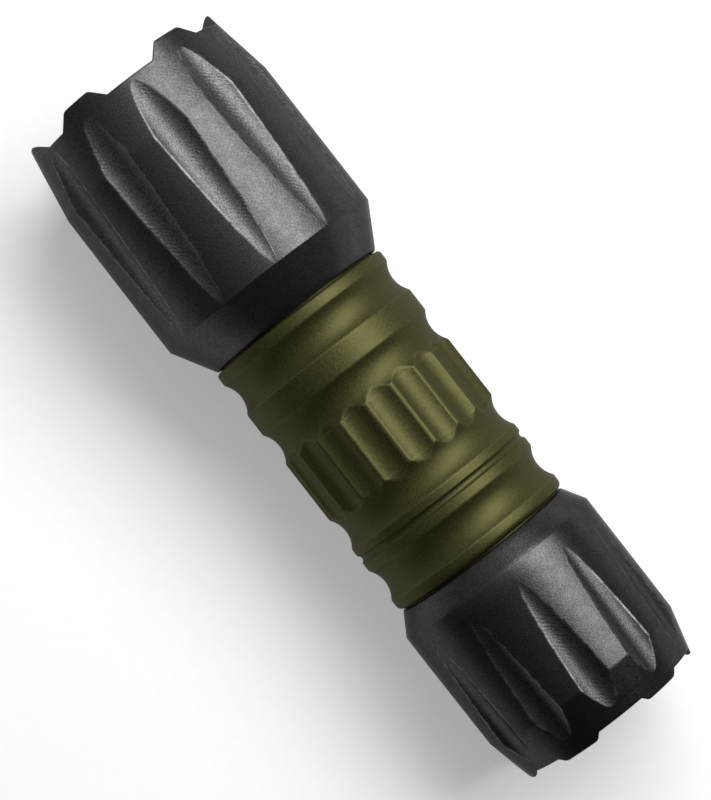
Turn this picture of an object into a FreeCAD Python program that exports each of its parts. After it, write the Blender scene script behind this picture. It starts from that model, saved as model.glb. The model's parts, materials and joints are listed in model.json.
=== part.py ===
import FreeCAD, Part
import math
import os

# Compact one-cell tactical flashlight, lying on its side, in millimetres.
# It is modelled on its own axis: x runs from the tail teeth (0) to the bezel teeth (LENGTH) and r is the
# distance from the axis. to_row_frame() then sets it down on z = 0, with its middle at x = 0.

V = FreeCAD.Vector
AXIS_POINT = V(0, 0, 0)
AXIS = V(1, 0, 0)

# Overall
LENGTH = 86.24
SHOULDER_GAP = 0.2          # dark line between the tube's shoulders and the head or tail
TURNED_GAP = 0.08           # radial clearance of the tube's tenons in the head and tail
CUTTER_R = 3.175            # quarter-inch ball cutter, used for every flute, valley and scallop

# Head shell
HEAD_LENGTH = 31.12
HEAD_R = 13.53
HEAD_TIP_R = 12.06
HEAD_TAPER = 8.32           # length of the front taper
HEAD_CHAMFER_START = 26.32  # from the bezel teeth back to the rear chamfer
JOINT_R = 10.77             # where the head's and the tail's chamfers end, beside the tube
BEZEL_MOUTH_R = 11.71       # the bezel's mouth narrows from its teeth to its bore
BEZEL_MOUTH_DEPTH = 1.35
BEZEL_BORE_R = 9.9
BEZEL_BORE_DEPTH = 4.0      # bezel teeth to the lip that holds the lens
WINDOW_R = 8.8
LIP_BACK = 5.0
FLUTE_COUNT = 12
HEAD_FLUTE_FRONT = 2.05     # flute run-outs, from the bezel teeth
HEAD_FLUTE_REAR = 26.32
FLUTE_OVERRUN = 12.0        # cutter's travel past each run-out
TOOTH_COUNT = 6
HEAD_NOTCH_DEPTH = 1.6
HEAD_NOTCH_FLOOR = 5.8      # widths of the gaps between the bezel teeth
HEAD_NOTCH_MOUTH = 8.85

# Tail shell
TAIL_LENGTH = 22.57
TAIL_R = 12.31
TAIL_TIP_R = 10.94
TAIL_TAPER = 5.32           # length of the rear taper
TAIL_CHAMFER_START = 20.02  # from the tail teeth forward to the front chamfer
TAIL_FLUTE_REAR = 2.0
TAIL_FLUTE_FRONT = 18.22
TAIL_PHASE = -2.0           # degrees that the tail's flutes stand round from the head's
TAIL_NOTCH_DEPTH = 0.68
TAIL_NOTCH_FLOOR = 5.7
TAIL_NOTCH_MOUTH = 7.0
DISH_MOUTH_R = 10.5         # thumb dish in the tail's end
DISH_FLOOR_R = 9.3
DISH_DEPTH = 2.4
BUTTON_HOLE_R = 7.0

# Tube
LAND_R = 11.1
VALLEY_R = 10.4
VALLEY_CENTRES = (51.52, 44.76, 33.15, 26.22)
SMALL_GROOVE_X = 29.77
SMALL_GROOVE_HALF = 0.46
SMALL_GROOVE_DEPTH = 0.3
TENON_R = 10.0
TENON_FRONT_END = 62.14
TENON_REAR_END = 15.52
CELL_BORE_R = 8.65
SCALLOP_COUNT = 20
SCALLOP_FLOOR_R = 10.6
SCALLOP_PHASE = 1.0
RING_GROOVE_R = 9.15        # O-ring grooves in the tenons
RING_GROOVE_FROM_SHOULDER = 0.55
RING_GROOVE_WIDTH = 1.2
O_RING_SECTION = 0.88
UNDERCUT_FROM_SHOULDER = 2.3
UNDERCUT_WIDTH = 0.6
UNDERCUT_R = 9.4
THREAD_PITCH = 1.0
THREAD_DEPTH = 0.5
THREAD_MOUTH = 0.43         # half width of the thread's groove at the crest
THREAD_ROOT = 0.07

# Optics, measured back from the bezel teeth
LENS_RING_SECTION = 0.84
LENS_FRONT = 5.88
LENS_THICKNESS = 1.6
LENS_R = 9.95
REFLECTOR_FRONT = 7.5
REFLECTOR_BACK = 17.6
REFLECTOR_R = 9.95
REFLECTOR_MOUTH_R = 9.3
REFLECTOR_HOLE_R = 3.0
REFLECTOR_WALL = 0.75
BOARD_FRONT = 18.6
BOARD_THICKNESS = 1.6
BOARD_R = 8.0
LED_SIDE = 3.45
LED_HEIGHT = 0.6
DIE_SIDE = 2.2
DIE_HEIGHT = 0.12
DOME_R = 1.6
WIRE_R = 0.35
WIRE_ORBIT = 6.0

# Light engine pill and driver, measured back from the bezel teeth
PILL_FRONT = 17.7
PILL_BACK = 24.0
PILL_R = 10.0
PILL_FRONT_POCKET_R = 8.15
PILL_PLATE_BACK = 21.3
PILL_REAR_POCKET_R = 8.6
DRIVER_FRONT = 22.9
DRIVER_THICKNESS = 1.0
DRIVER_R = 8.5

# Cell: 17 mm by 34.5 mm lithium
CELL_REAR = 21.52
CELL_LENGTH = 34.5
CELL_R = 8.4
CELL_WRAP_R = 8.5
CELL_CAP_R = 3.2
CELL_CAP_HEIGHT = 1.2

# Springs
SPRING_WIRE_R = 0.4
FRONT_SPRING_BASE_R = 3.0
FRONT_SPRING_TIP_R = 2.2
REAR_SPRING_BASE_R = 5.4
REAR_SPRING_TIP_R = 3.2

# Switch, measured forward from the tail teeth
LIP_FRONT = 3.6             # inner face of the tail's end wall
BOOT_FLANGE = 1.0
BOOT_FLANGE_R = 8.65
BOOT_DOME_R = 6.6
BOOT_TOP = 0.95
BOOT_WALL = 0.9
SWITCH_CHAMBER_R = 8.75
WASHER_THICKNESS = 0.5
HOUSING_FRONT = 12.0
HOUSING_R = 8.2
CAVITY_R = 5.5
CAVITY_BACK = 6.0
CAVITY_FRONT = 11.4
PLUNGER_R = 3.0
PLUNGER_FLANGE_R = 4.6
PLUNGER_BACK = 2.6
SWITCH_BOARD_THICKNESS = 1.0
RETAINER_R = 9.2
RETAINER_BORE_R = 6.6
RETAINER_FRONT = 15.2
RETAINER_BORE = 9.3


def turned(outline):
    """Solid of revolution. outline is (x, r) points; (xm, rm, x, r) is an arc through (xm, rm) to (x, r)."""
    edges = []
    here = outline[0]
    for step in [*outline[1:], outline[0]]:
        start, end = V(*here, 0), V(*step[-2:], 0)
        if len(step) == 4:
            edges.append(Part.Arc(start, V(*step[:2], 0), end).toShape())
        else:
            edges.append(Part.LineSegment(start, end).toShape())
        here = step[-2:]
    return Part.Face(Part.Wire(edges)).revolve(AXIS_POINT, AXIS, 360)


def tube(x0, x1, inner, outer):
    return turned([(x0, inner), (x1, inner), (x1, outer), (x0, outer)])


def disc(x0, x1, radius):
    return Part.makeCylinder(radius, x1 - x0, V(x0, 0, 0), AXIS)


def torus(x, centre_r, section):
    return Part.makeTorus(centre_r, section / 2, V(x, 0, 0), AXIS)


def block(x0, x1, width, height, y=0.0, z=0.0):
    return Part.makeBox(x1 - x0, width, height, V(x0, y - width / 2, z - height / 2))


def turned_about(shape, degrees):
    copy = shape.copy()
    copy.rotate(AXIS_POINT, AXIS, degrees)
    return copy


def ring_of(shape, count, phase=0.0):
    return [turned_about(shape, phase + 360 * i / count) for i in range(count)]


def flute_cutter(rear, front, overrun):
    """Ball cutter's straight pass above the axis, whose lowest line runs from rear to front, both (x, r)."""
    dx, dr = front[0] - rear[0], front[1] - rear[1]
    run = math.hypot(dx, dr)
    along = V(dx / run, 0, dr / run)
    outward = V(-along.z, 0, along.x)
    start = V(rear[0], 0, rear[1]) + outward * CUTTER_R - along * overrun
    return Part.makeCylinder(CUTTER_R, run + 2 * overrun, start, along)


def notch_cutter(tip_x, floor_x, floor_width, mouth_width, corner):
    """Wedge-sided slot through the end wall above the axis, from beyond tip_x down to floor_x."""
    outside = 1.0
    slope = (mouth_width - floor_width) / 2 / (tip_x - floor_x)
    away = math.copysign(outside, tip_x - floor_x)
    mouth = mouth_width / 2 + slope * away
    corners = [
        V(floor_x, -floor_width / 2, 0),
        V(floor_x, floor_width / 2, 0),
        V(tip_x + away, mouth, 0),
        V(tip_x + away, -mouth, 0),
    ]
    prism = Part.Face(Part.makePolygon([*corners, corners[0]])).extrude(V(0, 0, 20))
    floor_edges = [e for e in prism.Edges if all(abs(v.X - floor_x) < 1e-6 for v in e.Vertexes)
                   and abs(e.tangentAt(e.FirstParameter).z) > 0.9]
    return prism.makeFillet(corner, floor_edges)


def line_r(x, a, b):
    """Radius at x on the line from a to b, both (x, r)."""
    return a[1] + (b[1] - a[1]) * (x - a[0]) / (b[0] - a[0])


def thread_cutter(x0, x1):
    """Helical V groove that leaves a right-handed thread on a tenon between x0 and x1."""
    path = Part.makeHelix(THREAD_PITCH, x1 - x0, TENON_R)
    path.rotate(AXIS_POINT, V(0, 1, 0), 90)
    path.translate(V(x0, 0, 0))
    start = path.Vertexes[0].Point
    out = V(0, start.y, start.z).normalize()
    overlap = 0.05
    crest, root = out * overlap, out * -THREAD_DEPTH
    slope = (THREAD_MOUTH - THREAD_ROOT) / THREAD_DEPTH
    mouth = THREAD_MOUTH + slope * overlap
    corners = [
        start + crest + AXIS * mouth,
        start + crest - AXIS * mouth,
        start + root - AXIS * THREAD_ROOT,
        start + root + AXIS * THREAD_ROOT,
    ]
    profile = Part.makePolygon([*corners, corners[0]])
    return Part.Wire(path.Edges).makePipeShell([profile], True, True)


def coil_spring(x0, x1, radius0, radius1, turns):
    """Wire coil between two planes, from radius0 at x0 to radius1 at x1."""
    length = x1 - x0 - 2 * SPRING_WIRE_R
    steps = turns * 12
    centres = []
    for i in range(steps + 1):
        share = i / steps
        angle = math.tau * turns * share
        radius = radius0 + (radius1 - radius0) * share
        x = x0 + SPRING_WIRE_R + length * share
        centres.append(V(x, -radius * math.sin(angle), radius * math.cos(angle)))
    path = Part.BSplineCurve()
    path.interpolate(centres)
    tangent = path.tangent(path.FirstParameter)[0]
    profile = Part.Wire(Part.makeCircle(SPRING_WIRE_R, centres[0], tangent))
    return Part.Wire(path.toShape()).makePipeShell([profile], True, True)


def from_bezel(depth):
    """x of a plane that lies depth behind the bezel teeth."""
    return LENGTH - depth


# Head

def head_shell():
    tip, rear = LENGTH, LENGTH - HEAD_LENGTH
    taper_end, chamfer_start = from_bezel(HEAD_TAPER), from_bezel(HEAD_CHAMFER_START)
    bore_r = TENON_R + TURNED_GAP
    lead_in = 0.25
    shell = turned([
        (tip, BEZEL_MOUTH_R),
        (from_bezel(BEZEL_MOUTH_DEPTH), BEZEL_BORE_R),
        (from_bezel(BEZEL_BORE_DEPTH), BEZEL_BORE_R),
        (from_bezel(BEZEL_BORE_DEPTH), WINDOW_R),
        (from_bezel(LIP_BACK), WINDOW_R),
        (from_bezel(LIP_BACK), bore_r),
        (rear + lead_in, bore_r),
        (rear, bore_r + lead_in),
        (rear, JOINT_R),
        (chamfer_start, HEAD_R),
        (taper_end, HEAD_R),
        (tip, HEAD_TIP_R),
    ])
    front_x = from_bezel(HEAD_FLUTE_FRONT)
    front = (front_x, line_r(front_x, (tip, HEAD_TIP_R), (taper_end, HEAD_R)))
    flute = flute_cutter((from_bezel(HEAD_FLUTE_REAR), HEAD_R), front, FLUTE_OVERRUN)
    notch = notch_cutter(tip, tip - HEAD_NOTCH_DEPTH, HEAD_NOTCH_FLOOR, HEAD_NOTCH_MOUTH, 0.15)
    return shell.cut(ring_of(flute, FLUTE_COUNT)).cut(ring_of(notch, TOOTH_COUNT))


def lens_o_ring():
    x = from_bezel(LIP_BACK + LENS_RING_SECTION / 2 + 0.02)
    return torus(x, WINDOW_R + 0.5, LENS_RING_SECTION)


def lens():
    back, front = from_bezel(LENS_FRONT + LENS_THICKNESS), from_bezel(LENS_FRONT)
    bevel = 0.2
    return turned([(back, 0), (back, LENS_R - bevel), (back + bevel, LENS_R),
                   (front - bevel, LENS_R), (front, LENS_R - bevel), (front, 0)])


def bowl_r(z):
    """Inner radius of the parabolic reflector at height z above the LED's hole."""
    depth = REFLECTOR_BACK - 0.2 - REFLECTOR_FRONT
    four_f = (REFLECTOR_MOUTH_R ** 2 - REFLECTOR_HOLE_R ** 2) / depth
    return math.sqrt(four_f * z + REFLECTOR_HOLE_R ** 2)


def reflector():
    base_x, mouth_x = from_bezel(REFLECTOR_BACK), from_bezel(REFLECTOR_FRONT)
    hole_x = base_x + 0.2
    samples = 12
    heights = [(mouth_x - hole_x) * i / samples for i in range(samples + 1)]
    inner = [V(hole_x + z, bowl_r(z), 0) for z in heights]
    flange_x, boss_r, boss_x = mouth_x - 1.0, 5.0, base_x + 2.2
    outer_start = next(z for z in heights if bowl_r(z) + REFLECTOR_WALL > boss_r and z > boss_x - hole_x)
    outer = [V(hole_x + z, bowl_r(z) + REFLECTOR_WALL, 0)
             for z in heights if outer_start <= z <= flange_x - hole_x]
    curves = [Part.BSplineCurve(), Part.BSplineCurve()]
    curves[0].interpolate(inner)
    curves[1].interpolate(outer)
    corners = [
        inner[-1], V(mouth_x, REFLECTOR_R, 0), V(flange_x, REFLECTOR_R, 0),
        V(flange_x, outer[-1].y, 0), outer[-1],
    ]
    back = [outer[0], V(boss_x, boss_r, 0), V(base_x, boss_r, 0), V(base_x, REFLECTOR_HOLE_R, 0), inner[0]]
    edges = [curves[0].toShape(), curves[1].toShape()]
    for a, b in [*zip(corners, corners[1:]), *zip(back, back[1:])]:
        if a.distanceToPoint(b) > 1e-6:
            edges.append(Part.LineSegment(a, b).toShape())
    wire = Part.Wire(Part.__sortEdges__(edges))
    return Part.Face(wire).revolve(AXIS_POINT, AXIS, 360)


def centering_ring():
    back, face = from_bezel(BOARD_FRONT), from_bezel(REFLECTOR_BACK)
    body = disc(back, face, 4.3).fuse(disc(face, face + 0.5, REFLECTOR_HOLE_R - 0.05))
    return body.cut(block(back - 1, face + 1, LED_SIDE + 0.1, LED_SIDE + 0.1))


def led_package():
    back = from_bezel(BOARD_FRONT)
    return block(back, back + LED_HEIGHT, LED_SIDE, LED_SIDE)


def led_die():
    top = from_bezel(BOARD_FRONT) + LED_HEIGHT
    return block(top, top + DIE_HEIGHT, DIE_SIDE, DIE_SIDE)


def led_dome():
    top = from_bezel(BOARD_FRONT) + LED_HEIGHT
    ball = Part.makeSphere(DOME_R, V(top, 0, 0))
    half = ball.common(disc(top, top + DOME_R + 1, DOME_R + 1))
    return half.cut(led_die())


def wire_holes(x0, x1):
    hole = Part.makeCylinder(WIRE_R + 0.35, x1 - x0, V(x0, 0, WIRE_ORBIT), AXIS)
    return ring_of(hole, 2, 90)


def led_board():
    front, back = from_bezel(BOARD_FRONT), from_bezel(BOARD_FRONT + BOARD_THICKNESS)
    return disc(back, front, BOARD_R).cut(wire_holes(back - 1, front + 1))


def led_wire(side):
    """Lead from the driver, through the pill and the LED's board, and over onto the board's pad."""
    start = V(from_bezel(DRIVER_FRONT), 0, WIRE_ORBIT)
    bend = 0.55
    corner_x = from_bezel(BOARD_FRONT) + WIRE_R + 0.02
    before, after = V(corner_x - bend, 0, WIRE_ORBIT), V(corner_x, 0, WIRE_ORBIT - bend)
    knee = V(corner_x - bend * (1 - math.sqrt(0.5)), 0, WIRE_ORBIT - bend * (1 - math.sqrt(0.5)))
    end = V(corner_x, 0, WIRE_ORBIT - 1.2)
    path = Part.Wire([
        Part.LineSegment(start, before).toShape(),
        Part.Arc(before, knee, after).toShape(),
        Part.LineSegment(after, end).toShape(),
    ])
    profile = Part.Wire(Part.makeCircle(WIRE_R, start, AXIS))
    return turned_about(path.makePipeShell([profile], True, True), side * 90)


def pill():
    front, back = from_bezel(PILL_FRONT), from_bezel(PILL_BACK)
    shelf, plate_back = from_bezel(BOARD_FRONT + BOARD_THICKNESS), from_bezel(PILL_PLATE_BACK)
    body = disc(back, front, PILL_R)
    pockets = [disc(shelf, front + 1, PILL_FRONT_POCKET_R), disc(back - 1, plate_back, PILL_REAR_POCKET_R)]
    grooves = [tube(x, x + 0.35, PILL_R - 0.35, PILL_R + 1) for x in (back + 1.0, back + 2.2, back + 3.4)]
    return body.cut([*pockets, *grooves, *wire_holes(plate_back - 1, shelf + 1)])


def driver_board():
    front = from_bezel(DRIVER_FRONT)
    return disc(front - DRIVER_THICKNESS, front, DRIVER_R)


def driver_chips():
    """Controller, coil, resistors and capacitors on the driver's front face."""
    x = from_bezel(DRIVER_FRONT)
    parts = [
        block(x, x + 1.2, 4.0, 4.0, y=2.6, z=-1.6),
        block(x, x + 0.9, 3.0, 3.0, y=-3.0, z=-0.6),
        block(x, x + 0.8, 1.8, 2.8, y=-2.6, z=3.6),
        block(x, x + 0.6, 1.6, 0.8, y=2.4, z=2.8),
        block(x, x + 0.6, 1.6, 0.8, y=2.4, z=4.2),
        block(x, x + 0.7, 1.2, 2.0, y=-0.4, z=-4.8),
    ]
    return Part.makeCompound(parts)


# Tube

def valley(x_centre):
    """Round groove as turned() steps, in order of rising x: its start, then the arc to its end."""
    depth = LAND_R - VALLEY_R
    half = math.sqrt(2 * CUTTER_R * depth - depth ** 2)
    return [(x_centre - half, LAND_R), (x_centre, VALLEY_R, x_centre + half, LAND_R)]


def tenon_cuts(shoulder, way):
    """O-ring groove and thread undercut of the tenon that leaves the shoulder along way, +1 or -1."""
    cuts = []
    for start, width, radius in (
        (RING_GROOVE_FROM_SHOULDER, RING_GROOVE_WIDTH, RING_GROOVE_R),
        (UNDERCUT_FROM_SHOULDER, UNDERCUT_WIDTH, UNDERCUT_R),
    ):
        x0, x1 = sorted((shoulder + way * start, shoulder + way * (start + width)))
        cuts.append(tube(x0, x1, radius, TENON_R + 1))
    return cuts


def shoulders():
    """x of the tube's rear and front shoulders."""
    return TAIL_LENGTH + SHOULDER_GAP, LENGTH - HEAD_LENGTH - SHOULDER_GAP


def body_tube():
    rear, front = shoulders()
    rear_round, front_round, lead = 0.65, 0.35, 0.4
    groove = [
        (SMALL_GROOVE_X - SMALL_GROOVE_HALF, LAND_R),
        (SMALL_GROOVE_X, LAND_R - SMALL_GROOVE_DEPTH, SMALL_GROOVE_X + SMALL_GROOVE_HALF, LAND_R),
    ]
    lands = valley(VALLEY_CENTRES[3]) + groove
    for x in VALLEY_CENTRES[2::-1]:
        lands += valley(x)
    corner = 1 - math.sqrt(0.5)
    body = turned([
        (TENON_REAR_END, CELL_BORE_R),
        (TENON_REAR_END, TENON_R - lead),
        (TENON_REAR_END + lead, TENON_R),
        (rear, TENON_R),
        (rear, LAND_R - rear_round),
        (rear + corner * rear_round, LAND_R - corner * rear_round, rear + rear_round, LAND_R),
        *lands,
        (front - front_round, LAND_R),
        (front - corner * front_round, LAND_R - corner * front_round, front, LAND_R - front_round),
        (front, TENON_R),
        (TENON_FRONT_END - lead, TENON_R),
        (TENON_FRONT_END, TENON_R - lead),
        (TENON_FRONT_END, CELL_BORE_R),
    ])
    scallop = flute_cutter((VALLEY_CENTRES[2], SCALLOP_FLOOR_R), (VALLEY_CENTRES[1], SCALLOP_FLOOR_R), 0)
    body = body.cut(ring_of(scallop, SCALLOP_COUNT, SCALLOP_PHASE))
    body = body.cut(tenon_cuts(rear, -1) + tenon_cuts(front, 1))
    into_undercut = UNDERCUT_FROM_SHOULDER + UNDERCUT_WIDTH / 2
    body = body.cut(thread_cutter(front + into_undercut, TENON_FRONT_END + 0.5))
    return body.cut(thread_cutter(TENON_REAR_END - 0.5, rear - into_undercut))


def tube_o_ring(shoulder, way):
    x = shoulder + way * (RING_GROOVE_FROM_SHOULDER + RING_GROOVE_WIDTH / 2)
    return torus(x, RING_GROOVE_R + O_RING_SECTION / 2, O_RING_SECTION)


def cell_can():
    front = CELL_REAR + CELL_LENGTH - CELL_CAP_HEIGHT
    bend = 0.8
    corner = bend * (1 - math.sqrt(0.5))
    return turned([
        (CELL_REAR, 0),
        (CELL_REAR, CELL_R - bend),
        (CELL_REAR + corner, CELL_R - corner, CELL_REAR + bend, CELL_R),
        (front - bend, CELL_R),
        (front - corner, CELL_R - corner, front, CELL_R - bend),
        (front, 0),
    ])


def cell_wrap():
    front = CELL_REAR + CELL_LENGTH - CELL_CAP_HEIGHT
    return tube(CELL_REAR + 1.0, front - 1.0, CELL_R, CELL_WRAP_R)


def cell_insulator():
    front = CELL_REAR + CELL_LENGTH - CELL_CAP_HEIGHT
    return tube(front, front + 0.25, CELL_CAP_R + 0.6, CELL_R - 0.9)


def cell_cap():
    base, top = CELL_REAR + CELL_LENGTH - CELL_CAP_HEIGHT, CELL_REAR + CELL_LENGTH
    edge = 0.3
    rim = [(base, CELL_CAP_R), (top - edge, CELL_CAP_R), (top, CELL_CAP_R - edge)]
    return turned([(base, 0), *rim, (top, 0)])


# Springs

def front_spring():
    """Driver's contact spring, pressed on the cell's positive cap."""
    x1 = from_bezel(DRIVER_FRONT + DRIVER_THICKNESS)
    return coil_spring(CELL_REAR + CELL_LENGTH, x1, FRONT_SPRING_TIP_R, FRONT_SPRING_BASE_R, 4)


def rear_spring():
    """Conical spring between the switch's board and the cell's flat end."""
    x0 = HOUSING_FRONT + SWITCH_BOARD_THICKNESS
    return coil_spring(x0, CELL_REAR, REAR_SPRING_BASE_R, REAR_SPRING_TIP_R, 4)


# Tail

def tail_shell():
    taper_end = TAIL_TAPER
    lead_in = 0.25
    bore_r = TENON_R + TURNED_GAP
    shell = turned([
        (0, DISH_MOUTH_R),
        (0, TAIL_TIP_R),
        (taper_end, TAIL_R),
        (TAIL_FLUTE_FRONT, TAIL_R),
        (TAIL_CHAMFER_START, TAIL_R),
        (TAIL_LENGTH, JOINT_R),
        (TAIL_LENGTH, bore_r + lead_in),
        (TAIL_LENGTH - lead_in, bore_r),
        (RETAINER_FRONT, bore_r),
        (RETAINER_FRONT, RETAINER_BORE),
        (HOUSING_FRONT, RETAINER_BORE),
        (HOUSING_FRONT, SWITCH_CHAMBER_R),
        (LIP_FRONT, SWITCH_CHAMBER_R),
        (LIP_FRONT, BUTTON_HOLE_R),
        (DISH_DEPTH, BUTTON_HOLE_R),
        (DISH_DEPTH, DISH_FLOOR_R),
    ])
    rear_r = line_r(TAIL_FLUTE_REAR, (0, TAIL_TIP_R), (taper_end, TAIL_R))
    flute = flute_cutter((TAIL_FLUTE_REAR, rear_r), (TAIL_FLUTE_FRONT, TAIL_R), FLUTE_OVERRUN)
    notch = notch_cutter(0, TAIL_NOTCH_DEPTH, TAIL_NOTCH_FLOOR, TAIL_NOTCH_MOUTH, 0.3)
    shell = shell.cut(ring_of(flute, FLUTE_COUNT)).cut(ring_of(notch, TOOTH_COUNT))
    return turned_about(shell, TAIL_PHASE)


def switch_boot():
    """Rubber boot: clamped flange, thin side wall, domed top with a post that bears on the plunger."""
    flange_front = LIP_FRONT + BOOT_FLANGE
    rim_x = 2.2
    inner_r = BOOT_DOME_R - BOOT_WALL
    post_r = 1.6
    return turned([
        (BOOT_TOP, 0),
        (BOOT_TOP + 0.32, 3.6, rim_x, BOOT_DOME_R),
        (LIP_FRONT, BOOT_DOME_R),
        (LIP_FRONT, BOOT_FLANGE_R),
        (flange_front, BOOT_FLANGE_R),
        (flange_front, inner_r),
        (rim_x + 0.5, inner_r),
        (BOOT_TOP + BOOT_WALL + 0.2, post_r + 0.6),
        (PLUNGER_BACK, post_r),
        (PLUNGER_BACK, 0),
    ])


def boot_washer():
    x = LIP_FRONT + BOOT_FLANGE
    return tube(x, x + WASHER_THICKNESS, 4.9, BOOT_FLANGE_R)


def switch_housing():
    back = LIP_FRONT + BOOT_FLANGE + WASHER_THICKNESS
    body = disc(back, HOUSING_FRONT, HOUSING_R)
    return body.cut([disc(back - 1, CAVITY_BACK + 0.5, PLUNGER_R + 0.15),
                     disc(CAVITY_BACK, CAVITY_FRONT, CAVITY_R),
                     disc(CAVITY_FRONT - 0.5, HOUSING_FRONT + 1, 1.0)])


def switch_plunger():
    flange_x = CAVITY_BACK + 0.1
    stem = disc(PLUNGER_BACK, flange_x + 0.8, PLUNGER_R)
    return stem.fuse(disc(flange_x, flange_x + 0.8, PLUNGER_FLANGE_R)).removeSplitter()


def switch_return_spring():
    return coil_spring(CAVITY_BACK + 0.9, CAVITY_FRONT, 3.6, 3.6, 3)


def switch_rivet():
    """Centre contact that carries the current through the housing to the board."""
    head = disc(CAVITY_FRONT - 0.8, CAVITY_FRONT - 0.4, 1.8)
    return disc(CAVITY_FRONT - 0.4, HOUSING_FRONT, 0.95).fuse(head)


def switch_board():
    return disc(HOUSING_FRONT, HOUSING_FRONT + SWITCH_BOARD_THICKNESS, 8.5)


def switch_retaining_ring():
    back = HOUSING_FRONT + SWITCH_BOARD_THICKNESS
    slot = Part.makeBox(1.2, 1.4, 4.0, V(RETAINER_FRONT - 1.0, -0.7, RETAINER_BORE_R - 0.5))
    return tube(back, RETAINER_FRONT, RETAINER_BORE_R, RETAINER_R).cut(ring_of(slot, 2, 15))


def parts():
    rear, front = shoulders()
    return {
        "head_shell": head_shell(),
        "lens_o_ring": lens_o_ring(),
        "lens": lens(),
        "reflector": reflector(),
        "centering_ring": centering_ring(),
        "led_package": led_package(),
        "led_die": led_die(),
        "led_dome": led_dome(),
        "led_board": led_board(),
        "led_wire_red": led_wire(1),
        "led_wire_black": led_wire(-1),
        "pill": pill(),
        "driver_board": driver_board(),
        "driver_chips": driver_chips(),
        "front_spring": front_spring(),
        "body_tube": body_tube(),
        "front_o_ring": tube_o_ring(front, 1),
        "rear_o_ring": tube_o_ring(rear, -1),
        "cell_can": cell_can(),
        "cell_wrap": cell_wrap(),
        "cell_insulator": cell_insulator(),
        "cell_positive_cap": cell_cap(),
        "rear_spring": rear_spring(),
        "tail_shell": tail_shell(),
        "switch_boot": switch_boot(),
        "boot_washer": boot_washer(),
        "switch_housing": switch_housing(),
        "switch_plunger": switch_plunger(),
        "switch_return_spring": switch_return_spring(),
        "switch_rivet": switch_rivet(),
        "switch_board": switch_board(),
        "switch_retaining_ring": switch_retaining_ring(),
    }


def to_row_frame(shape):
    placed = shape.copy()
    placed.translate(V(-LENGTH / 2, 0, HEAD_R))
    return placed


os.makedirs("parts", exist_ok=True)
for name, shape in parts().items():
    placed = to_row_frame(shape)
    print(f"{name:24s} solids {len(placed.Solids)} valid {placed.isValid()} volume {placed.Volume:9.2f}")
    placed.exportStep(f"parts/{name}.step")
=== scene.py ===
import bmesh
import bpy
import json
import math
from mathutils import Matrix, Vector


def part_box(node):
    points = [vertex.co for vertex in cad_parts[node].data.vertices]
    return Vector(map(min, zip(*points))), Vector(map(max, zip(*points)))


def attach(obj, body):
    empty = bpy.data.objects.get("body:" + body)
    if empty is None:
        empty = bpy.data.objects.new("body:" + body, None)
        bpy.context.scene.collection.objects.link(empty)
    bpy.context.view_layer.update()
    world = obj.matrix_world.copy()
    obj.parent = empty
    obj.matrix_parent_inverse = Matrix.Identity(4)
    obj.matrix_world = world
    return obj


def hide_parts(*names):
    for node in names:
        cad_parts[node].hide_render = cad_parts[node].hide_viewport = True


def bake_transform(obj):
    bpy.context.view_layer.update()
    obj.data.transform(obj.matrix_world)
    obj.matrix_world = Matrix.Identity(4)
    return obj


# A compact tactical flashlight lying on a pale floor, its beam along +X. Lengths are in metres.
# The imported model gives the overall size; the outer shells are rebuilt here with finer edges.

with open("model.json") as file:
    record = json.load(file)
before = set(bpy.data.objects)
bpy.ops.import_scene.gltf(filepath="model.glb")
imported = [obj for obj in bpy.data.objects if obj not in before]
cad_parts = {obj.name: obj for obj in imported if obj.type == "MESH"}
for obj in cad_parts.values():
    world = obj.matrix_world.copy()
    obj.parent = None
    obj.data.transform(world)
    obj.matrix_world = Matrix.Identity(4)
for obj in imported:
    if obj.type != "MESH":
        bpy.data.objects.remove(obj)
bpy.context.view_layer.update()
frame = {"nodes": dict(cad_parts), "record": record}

MM = 0.001
TURN = 2 * math.pi

# Packed boxes
HEAD_LOW, HEAD_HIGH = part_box("head_shell")
TAIL_LOW, TAIL_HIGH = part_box("tail_shell")
TUBE_LOW, TUBE_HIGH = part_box("body_tube")
AXIS_Z = (HEAD_LOW.z + HEAD_HIGH.z) / 2

# Head and tail shells
CUTTER_R = 3.175 * MM            # ball cutter of the flutes, the valleys and the scallops
FLUTE_COUNT = 12
TOOTH_COUNT = 6
EDGE_W = 0.09 * MM               # spacing of the points that round a flute's lip
JOINT_R = 10.77 * MM             # where the chamfers end, beside the tube
BORE_R = 10.08 * MM
LEAD_IN = 0.25 * MM

# Head, measured from its bezel teeth
HEAD_R = (HEAD_HIGH.z - HEAD_LOW.z) / 2
HEAD_LENGTH = HEAD_HIGH.x - HEAD_LOW.x
HEAD_TIP_R = 12.06 * MM
HEAD_TAPER = 8.32 * MM
HEAD_CHAMFER_START = 26.32 * MM
BEZEL_BORE_R = 9.9 * MM
WINDOW_R = 8.8 * MM

# Tail, measured from its tail teeth
TAIL_R = 12.31 * MM
TAIL_LENGTH = TAIL_HIGH.x - TAIL_LOW.x
TAIL_TIP_R = 10.94 * MM
TAIL_TAPER = 5.32 * MM
TAIL_CHAMFER_START = 20.02 * MM
TAIL_PHASE = math.radians(-2.0)  # how far the tail's flutes stand round from the head's
BUTTON_HOLE_R = 7.0 * MM
SWITCH_CHAMBER_R = 8.75 * MM
RETAINER_BORE_R = 9.3 * MM

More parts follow.
